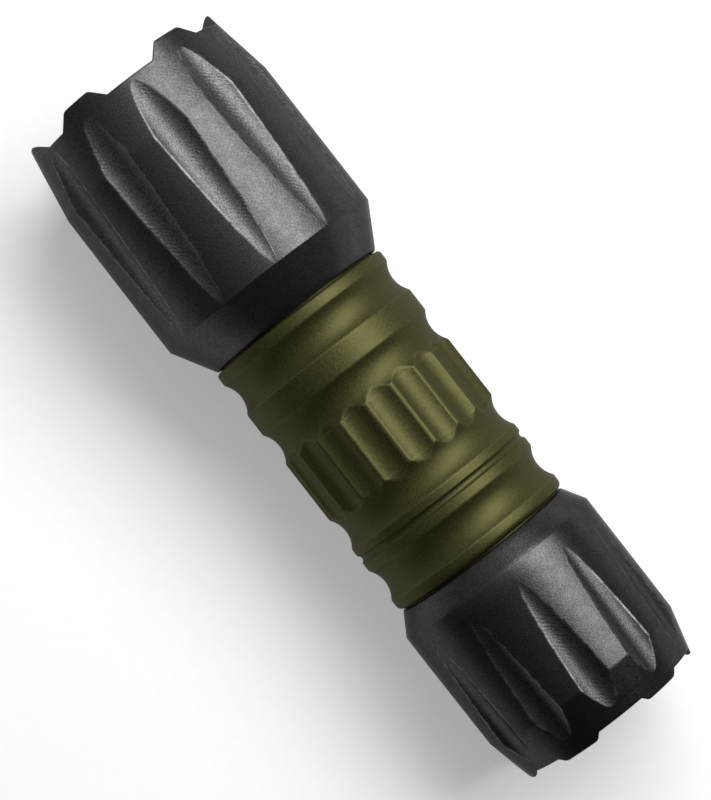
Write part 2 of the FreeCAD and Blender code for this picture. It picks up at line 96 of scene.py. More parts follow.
# Tube
LAND_R = 11.1 * MM
VALLEY_R = 10.4 * MM
VALLEY_CENTRES = [TAIL_LOW.x + x * MM for x in (26.22, 33.15, 44.76, 51.52)]
SMALL_GROOVE_X = TAIL_LOW.x + 29.77 * MM
SHOULDER_GAP = 0.2 * MM          # between the tube's shoulders and the head or the tail
CELL_BORE_R = 8.65 * MM
TENON_R = 10.0 * MM
RING_GROOVE_R = 9.15 * MM
UNDERCUT_R = 9.4 * MM
THREAD_PITCH = 1.0 * MM
THREAD_DEPTH = 0.5 * MM
SCALLOP_COUNT = 20
SCALLOP_FLOOR_R = 10.6 * MM
SCALLOP_PHASE = math.radians(1.0)
SCALLOP_LIP = 0.09 * MM          # width over which a scallop's edge is rounded

# Studio: brightness by direction, from -1 to 1 along the light and across it
ALONG = ((-1.0, 0.04), (-0.5, 0.08), (-0.15, 0.17), (0.2, 0.9), (1.0, 0.75))
ACROSS = ((-1.0, 0.15), (-0.5, 0.5), (0.0, 1.0), (0.45, 0.5), (1.0, 0.1))
STUDIO_POWER = 0.85
FLOOR_GLOW = 0.32
KEY_DIRECTION = (0.2, -0.54, 0.82)
KEY_DISTANCE = 0.34
KEY_SIZE = (0.2, 0.42)
KEY_POWER = 2.1


class Skin:
    """Rings of points round the axis, joined into one closed mesh."""

    def __init__(self):
        self.points, self.marks, self.faces = [], [], []

    def ring(self, x_values, radii, angles, phase=0.0, marks=None):
        """A ring as (indices, angles). marks holds (flute, edge) for each point."""
        first = len(self.points)
        for x, r, a in zip(x_values, radii, angles):
            self.points.append((x, -r * math.sin(a + phase), AXIS_Z + r * math.cos(a + phase)))
        self.marks += marks or [(0.0, 0.0)] * len(angles)
        return list(range(first, len(self.points))), angles

    def round_ring(self, x, r, angles, phase=0.0):
        return self.ring([x] * len(angles), [r] * len(angles), angles, phase)

    def strip(self, one, other):
        """Quads between two rings with the same number of points."""
        a, b = one[0], other[0]
        for i in range(len(a)):
            j = (i + 1) % len(a)
            self.faces.append((a[i], a[j], b[j], b[i]))

    def seam(self, one, other):
        """Triangles between two rings with different numbers of points, matched by angle."""
        (a, angles_a), (b, angles_b) = one, other
        i = j = 0
        while i < len(a) or j < len(b):
            next_a = angles_a[i + 1] if i + 1 < len(a) else angles_a[0] + TURN
            next_b = angles_b[j + 1] if j + 1 < len(b) else angles_b[0] + TURN
            here_a, here_b = a[i % len(a)], b[j % len(b)]
            if j >= len(b) or (i < len(a) and next_a <= next_b):
                i += 1
                self.faces.append((here_a, a[i % len(a)], here_b))
            else:
                j += 1
                self.faces.append((here_a, b[j % len(b)], here_b))

    def chain(self, rings):
        for one, other in zip(rings, rings[1:]):
            self.strip(one, other)

    def build(self, name, sharp_degrees=32):
        mesh = bpy.data.meshes.new(name)
        mesh.from_pydata(self.points, [], self.faces)
        for k, label in enumerate(("flute", "edge")):
            layer = mesh.attributes.new(label, "FLOAT", "POINT")
            layer.data.foreach_set("value", [m[k] for m in self.marks])
        return finish_mesh(name, mesh, sharp_degrees)


def finish_mesh(name, mesh, sharp_degrees):
    """Object from a closed mesh: normals outward, smooth, with its sharp corners kept."""
    work = bmesh.new()
    work.from_mesh(mesh)
    bmesh.ops.remove_doubles(work, verts=work.verts, dist=1e-8)
    bmesh.ops.recalc_face_normals(work, faces=work.faces)
    work.to_mesh(mesh)
    work.free()
    mesh.shade_smooth()
    mesh.set_sharp_from_angle(angle=math.radians(sharp_degrees))
    obj = bpy.data.objects.new(name, mesh)
    bpy.context.scene.collection.objects.link(obj)
    return obj


def even_angles(count):
    return [TURN * i / count for i in range(count)]


def around(half_period, count):
    """Full-circle angles from one half period's, which start at 0 and end at its middle."""
    period = TURN / count
    one = list(half_period) + [period - a for a in reversed(half_period[1:-1])]
    return [period * p + a for p in range(count) for a in one]


def mirrored(half_values, count):
    """Values for around()'s angles, from one half period's."""
    one = list(half_values) + list(reversed(half_values[1:-1]))
    return one * count


def eased(start, end, steps, power):
    """Values from start towards end that crowd at start."""
    return [start + (end - start) * (i / steps) ** power for i in range(steps + 1)]


def soft_min(a, b, width):
    h = max(width - abs(a - b), 0.0) / width
    return min(a, b) - h * h * width / 4


def cut_r(centre_r, angle):
    """Radius of a lengthwise round cut of CUTTER_R at an angle from its middle, or None beside it."""
    inside = CUTTER_R ** 2 - (centre_r * math.sin(angle)) ** 2
    return centre_r * math.cos(angle) - math.sqrt(inside) if inside > 0 else None


def rounded_path(points, radii, steps=4):
    """Polyline with its inner corners rounded."""
    path = [points[0]]
    for before, corner, after, radius in zip(points, points[1:], points[2:], radii):
        p, a, b = Vector(corner), Vector(before), Vector(after)
        u, v = (a - p).normalized(), (b - p).normalized()
        back = radius * math.tan((math.pi - u.angle(v)) / 2)
        start, end = p + u * back, p + v * back
        for i in range(steps + 1):
            s = i / steps
            path.append(tuple(start * (1 - s) ** 2 + p * 2 * s * (1 - s) + end * s ** 2))
    return [*path, points[-1]]


# Head and tail shells

# Points of half a flute's ring, counted from the flute's middle
LIP_POINT = 7
LIP_WEAR = {5: 0.15, 6: 0.8, 7: 1.0, 8: 0.7, 9: 0.1}


def flute_ring(skin, x, outer_r, floor_r, phase, milling):
    """Ring round the fluted surface: floor_r is the flutes' lowest radius there, or more than outer_r.

    milling is how plainly the flutes show the cutter's marks, from 0 to 1.
    """
    depth = outer_r - floor_r
    centre = floor_r + CUTTER_R
    edge = 0.0
    if depth > 0:
        edge = math.acos((centre ** 2 + outer_r ** 2 - CUTTER_R ** 2) / (2 * centre * outer_r))
    reach = max(edge, 0.003)
    w = min(EDGE_W / outer_r, reach / 12)
    middle = TURN / FLUTE_COUNT / 2
    last = reach + 2 * w
    half = [reach * f for f in (0, 0.2, 0.4, 0.6, 0.76)]
    half += [reach + w * k for k in (-2, -1, 0, 1, 2)]
    half += [last + (middle - last) * f for f in (0.12, 0.4, 0.7, 1)]
    radii, marks = [], []
    shown = min(max(depth, 0) / (0.05 * MM), 1.0)
    for k, a in enumerate(half):
        r = outer_r
        if edge > 0 and k < LIP_POINT:
            r = min(cut_r(centre, a) or outer_r, outer_r)
        if edge > 0 and k == LIP_POINT:
            r = outer_r - 0.35 * (outer_r - radii[-1])
        radii.append(r)
        marks.append((milling * shown if k < LIP_POINT else 0.0, LIP_WEAR.get(k, 0.0) * shown))
    angles = around(half, FLUTE_COUNT)
    radii, marks = mirrored(radii, FLUTE_COUNT), mirrored(marks, FLUTE_COUNT)
    return skin.ring([x] * len(angles), radii, angles, phase, marks)


def fluted_shell(name, tip_x, way, outline, flute, notch, inside, phase, milling):
    """Turned shell with lengthwise flutes and end teeth. Depths run from the teeth, which are at tip_x.

    outline is a function from depth to outer radius, with its corners and length; flute is the cutter's
    run-outs as depths; notch is (depth, floor angle, mouth angle); inside is the bore's (depth, radius)
    points, front to back, of which the first two are the cone that the notches cut through.
    """
    outer, corners, length = outline
    first, last = flute
    round_r = 0.14 * MM
    skin = Skin()
    seam_depth = first - 0.12 * MM
    slope = (outer(last) - outer(first)) / (last - first)

    depths = [seam_depth, *eased(first, corners[0], 16, 1.7)[:-1]]
    depths += [corners[0] - 0.05 * MM, corners[0] + 0.05 * MM]
    depths += [last - d for d in reversed(eased(0, last - corners[0] - 0.3 * MM, 22, 1.6))]
    depths += [corners[1] - 0.05 * MM, corners[1] + 0.05 * MM]
    depths += [corners[1] + (length - round_r - corners[1]) * f for f in (0.25, 0.5, 0.75, 1)]
    depths = sorted(set(round(d, 9) for d in depths))
    rings = []
    for d in depths:
        floor_r = outer(first) + slope * (d - first) if first < d < last else 1.0
        rings.append(flute_ring(skin, tip_x + way * d, outer(d), floor_r, phase, milling))
    end_angles = rings[-1][1]
    for d, r in ((length - 0.03 * MM, outer(length) - 0.02 * MM), (length, outer(length) - round_r)):
        rings.append(skin.round_ring(tip_x + way * d, r, end_angles, phase))
    skin.chain(rings)

    notch_depth, floor_angle, mouth_angle = notch
    tip_r = outer(0)
    half_period = TURN / TOOTH_COUNT / 2
    corners = [(0, notch_depth), (floor_angle * tip_r, notch_depth), (mouth_angle * tip_r, 0),
               (half_period * tip_r, 0)]
    path = rounded_path(corners, (0.3 * MM, 0.75 * MM))
    path[1:1] = [(path[1][0] * f, notch_depth) for f in (0.35, 0.7)]
    path[-1:-1] = [(path[-2][0] + (path[-1][0] - path[-2][0]) * 0.5, 0.0)]
    half = [s / tip_r for s, _ in path]
    fronts = mirrored([d for _, d in path], TOOTH_COUNT)
    angles = around(half, TOOTH_COUNT)

    def mouth_r(d):
        (d0, r0), (d1, r1) = inside[:2]
        return r0 + (r1 - r0) * min(d / (d1 - d0), 1.0)

    def narrowed(a, d):
        """Angle at the mouth's cone of a point on a notch's side, which has the angle a outside."""
        edge = math.asin(tip_r * math.sin(mouth_angle) / mouth_r(0))
        if a > mouth_angle:
            return half_period - (half_period - edge) * (half_period - a) / (half_period - mouth_angle)
        return math.asin(tip_r * math.sin(a) / mouth_r(d))

    inner_angles = around([narrowed(a, d) for a, (_, d) in zip(half, path)], TOOTH_COUNT)

    def tooth_ring(back, inset, inner=False):
        """Ring at a distance back from the teeth's ends and inset from the outer or inner wall."""
        marks = [(0.0, 1.0 if 0 < inset < round_r else 0.0)] * len(angles)
        depths_here = [f + back for f in fronts]
        x_values = [tip_x + way * d for d in depths_here]
        radii = [mouth_r(d) + inset if inner else outer(d) - inset for d in depths_here]
        return skin.ring(x_values, radii, inner_angles if inner else angles, phase, marks)

    bevel = 0.29 * round_r
    front = [skin.round_ring(tip_x + way * seam_depth, outer(seam_depth), angles, phase)]
    front += [tooth_ring(1.6 * round_r, 0)]
    front += [tooth_ring(back, inset) for back, inset in ((round_r, 0), (bevel, bevel), (0, round_r))]
    front += [tooth_ring(back, inset, True) for back, inset in ((0, round_r), (bevel, bevel), (round_r, 0))]
    behind = notch_depth + 0.2 * MM
    for d, r in [(behind, mouth_r(behind)), *(point for point in inside if point[0] > behind)]:
        front.append(skin.round_ring(tip_x + way * d, r, angles, phase))
    skin.chain(front)
    skin.seam(rings[0], front[0])
    skin.seam(rings[-1], front[-1])
    return skin.build(name)


def two_tapers(tip_r, taper, main_r, chamfer_start, length):
    """Outline that widens from the tip, runs straight and chamfers down to the tube."""
    def outer(d):
        front = tip_r + (main_r - tip_r) * d / taper
        back = main_r - (main_r - JOINT_R) * (d - chamfer_start) / (length - chamfer_start)
        return min(front, main_r, back)
    return outer, (taper, chamfer_start), length


def make_head():
    outline = two_tapers(HEAD_TIP_R, HEAD_TAPER, HEAD_R, HEAD_CHAMFER_START, HEAD_LENGTH)
    inside = [(0, 11.71 * MM), (1.35 * MM, BEZEL_BORE_R), (4.0 * MM, BEZEL_BORE_R), (4.0 * MM, 8.95 * MM),
              (4.15 * MM, WINDOW_R), (5.0 * MM, WINDOW_R), (5.0 * MM, BORE_R),
              (HEAD_LENGTH - LEAD_IN, BORE_R), (HEAD_LENGTH, BORE_R + LEAD_IN)]
    notch = (1.6 * MM, math.radians(14), math.radians(21.5))
    flute = (2.05 * MM, HEAD_CHAMFER_START)
    head = fluted_shell("head_shell_fine", HEAD_HIGH.x, -1, outline, flute, notch, inside, 0.0, 1.0)
    return dress(head, "head_metal", "head", "head_shell")


def make_tail():
    outline = two_tapers(TAIL_TIP_R, TAIL_TAPER, TAIL_R, TAIL_CHAMFER_START, TAIL_LENGTH)
    inside = [(0, 10.5 * MM), (2.4 * MM, 9.3 * MM), (2.4 * MM, 7.15 * MM), (2.55 * MM, BUTTON_HOLE_R),
              (3.6 * MM, BUTTON_HOLE_R), (3.6 * MM, SWITCH_CHAMBER_R), (12.0 * MM, SWITCH_CHAMBER_R),
              (12.0 * MM, RETAINER_BORE_R), (15.2 * MM, RETAINER_BORE_R), (15.2 * MM, BORE_R),
              (TAIL_LENGTH - LEAD_IN, BORE_R), (TAIL_LENGTH, BORE_R + LEAD_IN)]
    notch = (0.68 * MM, math.radians(15), math.radians(18.6))
    flute = (2.0 * MM, 18.22 * MM)
    tail = fluted_shell("tail_shell_fine", TAIL_LOW.x, 1, outline, flute, notch, inside, TAIL_PHASE, 0.35)
    # The tail takes the glossier copy of the head metal, whose tones are darkened as painted shade.
    return dress(tail, "head_metal", "tail", "tail_shell", "tail_metal_painted_shade")


# Tube

def turned_r(x):
    """Outer radius of the tube between its scallops."""
    r = LAND_R
    for centre in VALLEY_CENTRES:
        inside = CUTTER_R ** 2 - (x - centre) ** 2
        if inside > 0:
            r = soft_min(r, VALLEY_R + CUTTER_R - math.sqrt(inside), 0.12 * MM)
    small = 0.5 * MM
    inside = small ** 2 - (x - SMALL_GROOVE_X) ** 2
    if inside > 0:
        r = soft_min(r, LAND_R + 0.2 * MM - math.sqrt(inside), 0.08 * MM)
    return r


def scallop_half():
    """Angles from a scallop's middle to the middle of the land beside it."""
    edge, middle = math.radians(7.73), math.radians(9)
    return [edge * f for f in (0, 0.22, 0.44, 0.64, 0.8, 0.9, 0.96)] + [edge, (edge + middle) / 2, middle]


def tube_rows(rear, front):
    """Places along the tube, crowded where its outline turns."""
    valley = [0, 0.4, 0.75, 0.95, 1.05, 1.2, 1.35, 1.5, 1.62, 1.74, 1.84, 1.92, 1.99, 2.06, 2.14, 2.25, 2.45]
    groove = [0, 0.15, 0.28, 0.36, 0.42, 0.48, 0.56, 0.7]
    rows = [c + side * o * MM for c in VALLEY_CENTRES for o in valley for side in (-1, 1)]
    rows += [SMALL_GROOVE_X + side * o * MM for o in groove for side in (-1, 1)]
    rows += [VALLEY_CENTRES[1] + (VALLEY_CENTRES[2] - VALLEY_CENTRES[1]) * f / 12 for f in range(3, 10)]
    rows = sorted(set(round(x, 8) for x in rows if rear < x < front))
    return [a for a, b in zip(rows, rows[1:]) if b - a > 0.03 * MM] + rows[-1:]


def thread_r(x, angle, start, end):
    """Radius of the right-handed thread, which fades out at both ends."""
    turn = (x / THREAD_PITCH - angle / TURN) % 1.0
    height = min(max((abs(turn - 0.5) - 0.07) / 0.36, 0.0), 1.0)
    fade = min(max(min(x - start, end - x) / (0.3 * MM), 0.0), 1.0)
    return TENON_R - THREAD_DEPTH * (1 - height) * fade


def make_tube():
    """Tube with its valleys, scallops and threaded tenons, ringed from the rear shoulder to the front one."""
    skin = Skin()
    rear, front = TAIL_HIGH.x + SHOULDER_GAP, HEAD_LOW.x - SHOULDER_GAP
    half = scallop_half()
    angles = around(half, SCALLOP_COUNT)
    first, last = VALLEY_CENTRES[1], VALLEY_CENTRES[2]
    centre = SCALLOP_FLOOR_R + CUTTER_R
    rings = []

    def shoulder(x, way, radius):
        """Rounded shoulder rings, from the face outward."""
        out = []
        for step in range(5):
            a = math.pi / 2 * step / 4
            out.append((x + way * radius * (1 - math.sin(a)), LAND_R - radius * (1 - math.cos(a))))
        return out[::-1]

    rear_face, front_face = shoulder(rear, 1, 0.65 * MM), shoulder(front, -1, 0.4 * MM)
    for x, r in rear_face:
        rings.append(skin.round_ring(x, r, angles, SCALLOP_PHASE))
    for x in tube_rows(rear + 0.7 * MM, front - 0.45 * MM):
        base = turned_r(x)
        radii, marks = [], []
        for a in half:
            cut = cut_r(centre, a) if first < x < last else None
            radii.append(soft_min(base, cut, SCALLOP_LIP) if cut else base)
            near = 0.0 if cut is None else max(0.0, 1 - abs(base - cut) / SCALLOP_LIP)
            land = max(0.0, 1 - abs(LAND_R - base - 0.04 * MM) / (0.05 * MM))
            marks.append((0.0, max(near, land)))
        rings.append(skin.ring([x] * len(angles), mirrored(radii, SCALLOP_COUNT), angles, SCALLOP_PHASE,
                               mirrored(marks, SCALLOP_COUNT)))
    for x, r in reversed(front_face):
        rings.append(skin.round_ring(x, r, angles, SCALLOP_PHASE))
    skin.chain(rings)

    fine = even_angles(144)
    bores = []
    ends = ((rings[0], rear, -1, TUBE_LOW.x), (rings[-1], front, 1, TUBE_HIGH.x))
    for outer, shoulder_x, way, end_x in ends:
        steps = [(0, TENON_R), (0.55, TENON_R), (0.55, RING_GROOVE_R), (1.75, RING_GROOVE_R), (1.75, TENON_R),
                 (2.3, TENON_R), (2.3, UNDERCUT_R), (2.9, UNDERCUT_R), (2.9, None)]
        length = abs(end_x - shoulder_x)
        steps += [(d / MM, None) for d in eased(2.95 * MM, length - 0.4 * MM, 64, 1.0)]
        steps += [(length / MM, TENON_R - 0.4 * MM)]
        tenon = []
        low, high = sorted((shoulder_x + way * 2.6 * MM, end_x + way * 0.5 * MM))
        for d, r in steps:
            x = shoulder_x + way * d * MM
            radii = [r if r else thread_r(x, a, low, high) for a in fine]
            tenon.append(skin.ring([x] * len(fine), radii, fine))
        skin.chain(tenon)
        skin.seam(outer, tenon[0])
        bores.append(skin.round_ring(end_x, CELL_BORE_R, fine))
        skin.strip(tenon[-1], bores[-1])
    skin.strip(*bores)
    tube = skin.build("body_tube_fine")
    return dress(tube, "tube_green", "tube", "body_tube")


# Switch boot

def make_boot():
    """Rubber boot with a domed top, a moulded ring and a dimple."""
    tip = TAIL_LOW.x
    outline = [(0.0, 1.15), (0.7, 1.13), (1.2, 1.08), (1.7, 1.0), (2.3, 0.95), (3.0, 0.97), (3.5, 1.02),
               (3.66, 1.1), (3.82, 1.1), (4.0, 1.06), (4.8, 1.24), (5.5, 1.5), (6.0, 1.78), (6.35, 2.1),
               (6.55, 2.5), (6.6, 3.0), (6.6, 3.55), (8.6, 3.6), (8.65, 3.7), (8.65, 4.5), (8.6, 4.6),
               (5.8, 4.6), (5.7, 4.4), (5.7, 3.0), (5.5, 2.7), (4.6, 2.35), (2.2, 2.05), (1.7, 2.2),
               (1.6, 2.6), (0.0, 2.6)]
    skin = Skin()
    fine = even_angles(96)
    rings = [skin.round_ring(tip + x * MM, max(r, 0.02) * MM, fine) for r, x in outline]
    skin.chain(rings)
    skin.faces += [tuple(rings[0][0]), tuple(rings[-1][0])]
    boot = skin.build("switch_boot_fine", 50)
    boot.data.materials.append(MATERIALS["boot_rubber"])
    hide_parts("switch_boot")
    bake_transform(boot)
    return boot


def make_led_dome():
    """Clear dome over the LED's die, with a little air round the die."""
    low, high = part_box("led_dome")
    radius = (high.z - low.z) / 2
    outline = [(radius * math.sin(a), radius * math.cos(a)) for a in eased(math.pi / 2 - 0.01, 0, 12, 1.0)]
    outline += [(0.0, 1.58 * MM), (0.14 * MM, 1.57 * MM), (0.14 * MM, 0.02 * MM)]
    skin = Skin()
    fine = even_angles(64)
    rings = [skin.round_ring(low.x + x, r, fine) for x, r in outline]
    skin.chain(rings)
    skin.faces += [tuple(rings[0][0]), tuple(rings[-1][0])]
    return dress(skin.build("led_dome_fine"), "led_silicone", "light_engine", "led_dome")


def make_return_spring():
    """Return spring of the switch, which the button compresses."""
    node = "switch_return_spring"
    packed = frame["nodes"][node]
    spring = bpy.data.objects.new(node + "_fine", packed.data.copy())
    spring.matrix_world = packed.matrix_world.copy()
    bpy.context.scene.collection.objects.link(spring)
    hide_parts(node)
    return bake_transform(spring)


def dress(obj, slot, body, node, material=None):
    """Give a piece its material, which is its slot's unless another is named, hide its CAD node and hang it
    under its body.
    """
    obj.data.materials.append(MATERIALS[material or slot])
    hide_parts(node)
    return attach(obj, body)


# Materials

class Nodes:
    """Short way to add and join shader nodes."""

    def __init__(self, name):
        self.material = bpy.data.materials.new(name)
        self.material.use_nodes = True
        self.tree = self.material.node_tree
        self.shader = self.tree.nodes["Principled BSDF"]
        self.place = self.add("ShaderNodeTexCoord").outputs["Object"]

    def add(self, kind, **settings):
        node = self.tree.nodes.new(kind)
        for key, value in settings.items():
            setattr(node, key, value)
        return node

    def join(self, source, target):
        self.tree.links.new(source, target)

    def stretched(self, x, y, z, turn=(0, 0, 0)):
        node = self.add("ShaderNodeMapping")
        node.inputs["Scale"].default_value = (x, y, z)
        node.inputs["Rotation"].default_value = turn
        self.join(self.place, node.inputs["Vector"])
        return node.outputs["Vector"]

    def noise(self, scale, detail=3.0, rough=0.55, vector=None):
        node = self.add("ShaderNodeTexNoise")
        node.inputs["Scale"].default_value = scale
        node.inputs["Detail"].default_value = detail
        node.inputs["Roughness"].default_value = rough
        self.join(vector or self.place, node.inputs["Vector"])
        return node.outputs["Fac"]

    def math(self, operation, a, b=0.0, c=0.0):
        node = self.add("ShaderNodeMath", operation=operation)
        for socket, value in zip(node.inputs, (a, b, c)):
            if isinstance(value, (int, float)):
                socket.default_value = value
            else:
                self.join(value, socket)
        return node.outputs[0]

    def span(self, value, low, high, from_low=0.3, from_high=0.7):
        node = self.add("ShaderNodeMapRange")
        limits = {"From Min": from_low, "From Max": from_high, "To Min": low, "To Max": high}
        for key, number in limits.items():
            node.inputs[key].default_value = number
        self.join(value, node.inputs["Value"])
        return node.outputs["Result"]

    def mix(self, factor, a, b):
        node = self.add("ShaderNodeMix", data_type="RGBA")
        for socket, value in ((node.inputs[0], factor), (node.inputs[6], a), (node.inputs[7], b)):
            if isinstance(value, tuple):
                socket.default_value = (*value, 1.0)
            elif isinstance(value, (int, float)):
                socket.default_value = value
            else:
                self.join(value, socket)
        return node.outputs[2]

    def mark(self, name):
        return self.add("ShaderNodeAttribute", attribute_name=name).outputs["Fac"]

    def bump(self, *layers):
        """Bump from (height, depth) layers, one on another."""
        normal = None
        for height, depth in layers:
            node = self.add("ShaderNodeBump")
            node.inputs["Strength"].default_value = 1.0
            node.inputs["Distance"].default_value = depth
            self.join(height, node.inputs["Height"])
            if normal:
                self.join(normal, node.inputs["Normal"])
            normal = node.outputs["Normal"]
        self.join(normal, self.shader.inputs["Normal"])

    def put(self, **inputs):
        for key, value in inputs.items():
            socket = self.shader.inputs[key.replace("_", " ")]
            if isinstance(value, tuple):
                socket.default_value = (*value, 1.0) if len(value) == 3 else value
            elif isinstance(value, (int, float)):
                socket.default_value = value
            else:
                self.join(value, socket)


def dark_metal(name, painted_shade_scale, rough_low, rough_high, land_marks):
    """Black-coated metal, with the marks of the cutter in the flutes and of the lathe between them.

    land_marks is how much of the flutes' ripple shows on the lands. The number after the name scales every
    tone; below 1 the darkening is painted shade.
    """
    n = Nodes(name)
    grain, fine, cloud = n.noise(7000, 2, 0.7), n.noise(15000, 1), n.noise(900, 4, 0.6)
    turning = n.noise(1.0, 2, 0.6, n.stretched(9000, 160, 160))
    flute, edge = n.mark("flute"), n.mark("edge")
    ripple = n.add("ShaderNodeTexWave", wave_type="BANDS", bands_direction="X")
    ripple.inputs["Scale"].default_value = 1.0
    ripple.inputs["Distortion"].default_value = 5.0
    ripple.inputs["Detail"].default_value = 2.0
    ripple.inputs["Detail Scale"].default_value = 1.8
    n.join(n.stretched(800, 800, 240, (0, 0, math.radians(42))), ripple.inputs["Vector"])
    patches = n.span(n.noise(240, 3), 0.0, 1.0, 0.46, 0.62)
    greys = (0.028, 0.088, 0.038, 0.125)
    # Tones scaled below 1 are painted shade: the tail's copy is darkened for the dimmer light that falls on
    # it.
    dark, light, cloudy, bright = [(v * painted_shade_scale, v * painted_shade_scale, v * painted_shade_scale * 1.02) for v in greys]
    tone = n.mix(n.span(grain, 0, 1), dark, light)
    tone = n.mix(n.span(cloud, 0, 0.4), tone, cloudy)
    milled = n.mix(n.span(grain, 0, 1), dark, bright)
    tone = n.mix(flute, tone, milled)
    broken = n.math("MULTIPLY", edge, n.span(cloud, 0.0, 0.34, 0.42, 0.62))
    rough = n.math("MULTIPLY_ADD", flute, 0.1, n.span(cloud, rough_low, rough_high))
    n.put(Base_Color=n.mix(broken, tone, (0.3, 0.3, 0.3)), Metallic=0.95, Roughness=rough,
          Specular_Tint=(0.45, 0.45, 0.45))
    scope = n.math("MULTIPLY", patches, n.math("MULTIPLY_ADD", flute, 1.0 - land_marks, land_marks))
    ripples = n.math("MULTIPLY", ripple.outputs["Fac"], scope)
    tick = n.noise(1.0, 2, 0.6, n.stretched(3600, 260, 260))
    ticks = n.math("MULTIPLY", n.math("SUBTRACT", flute, scope), tick)
    streaks = n.math("MULTIPLY", flute, n.noise(1.0, 2, 0.6, n.stretched(120, 4500, 4500)))
    n.bump((turning, 0.004 * MM), (streaks, 0.008 * MM), (ticks, 0.016 * MM), (ripples, 0.016 * MM),
           (grain, 0.014 * MM), (fine, 0.005 * MM))
    return n.material


def tube_green():
    n = Nodes("tube_green")
    grain, fine, cloud = n.noise(5200, 3), n.noise(13000, 2), n.noise(200, 3)
    tone = n.mix(n.span(grain, 0, 1), (0.037, 0.036, 0.0108), (0.066, 0.0635, 0.0218))
    tone = n.mix(n.span(cloud, 0, 0.3), tone, (0.039, 0.037, 0.0118))
    edge = n.math("MULTIPLY", n.mark("edge"), n.span(grain, 0.05, 0.3))
    n.put(Base_Color=n.mix(edge, tone, (0.17, 0.165, 0.07)), Metallic=0.8,
          Roughness=n.span(grain, 0.46, 0.54), Specular_Tint=(0.5, 0.5, 0.5))
    n.bump((grain, 0.012 * MM), (fine, 0.006 * MM))
    return n.material


def grained(name, dark, light, scale, rough, depth, **more):
    """Moulded or coated finish: two tones, roughness and bump, all from one fine noise."""
    n = Nodes(name)
    grain, cloud = n.noise(scale, 3), n.noise(scale / 9, 2)
    tone = n.mix(n.span(grain, 0, 1), dark, light)
    tone = n.mix(n.span(cloud, 0, 0.25), tone, dark)
    n.put(Base_Color=tone, Roughness=n.span(grain, rough[0], rough[1]), **more)
    n.bump((grain, depth))
    return n.material


def turned_metal(name, dark, light, rough, depth):
    """Lathe-turned metal: rings of tone, roughness and bump along x."""
    n = Nodes(name)
    rings = n.noise(1.0, 3, 0.6, n.stretched(7000, 60, 60))
    cloud = n.noise(300, 3)
    tone = n.mix(n.span(rings, 0, 1), dark, light)
    n.put(Base_Color=n.mix(n.span(cloud, 0, 0.3), tone, dark), Metallic=1.0,
          Roughness=n.span(rings, rough[0], rough[1]))
    n.bump((rings, depth))
    return n.material


def clear(name, tint, alpha, rough):
    """Clear glass or silicone: a thin dark tint under a glossy coat, faintly smeared."""
    n = Nodes(name)
    smear = n.noise(160, 3)
    n.put(Base_Color=n.mix(n.span(smear, 0, 1), tint, tuple(c * 0.94 for c in tint)), Alpha=alpha,
          Roughness=n.span(smear, rough, rough * 2.5), Coat_Weight=1.0, Coat_Roughness=0.02)
    n.bump((smear, 0.0004 * MM))
    return n.material


def circuit(name, dark, light):
    """Solder mask with tracks showing faintly through it."""
    n = Nodes(name)
    tracks = n.add("ShaderNodeTexVoronoi", feature="DISTANCE_TO_EDGE", distance="MANHATTAN")
    tracks.inputs["Scale"].default_value = 650
    n.join(n.place, tracks.inputs["Vector"])
    lines = n.span(tracks.outputs["Distance"], 1, 0, 0.03, 0.09)
    grain = n.noise(2500, 3)
    n.put(Base_Color=n.mix(lines, dark, light), Roughness=n.span(grain, 0.3, 0.42), Coat_Weight=0.3)
    n.bump((lines, 0.01 * MM), (grain, 0.002 * MM))
    return n.material


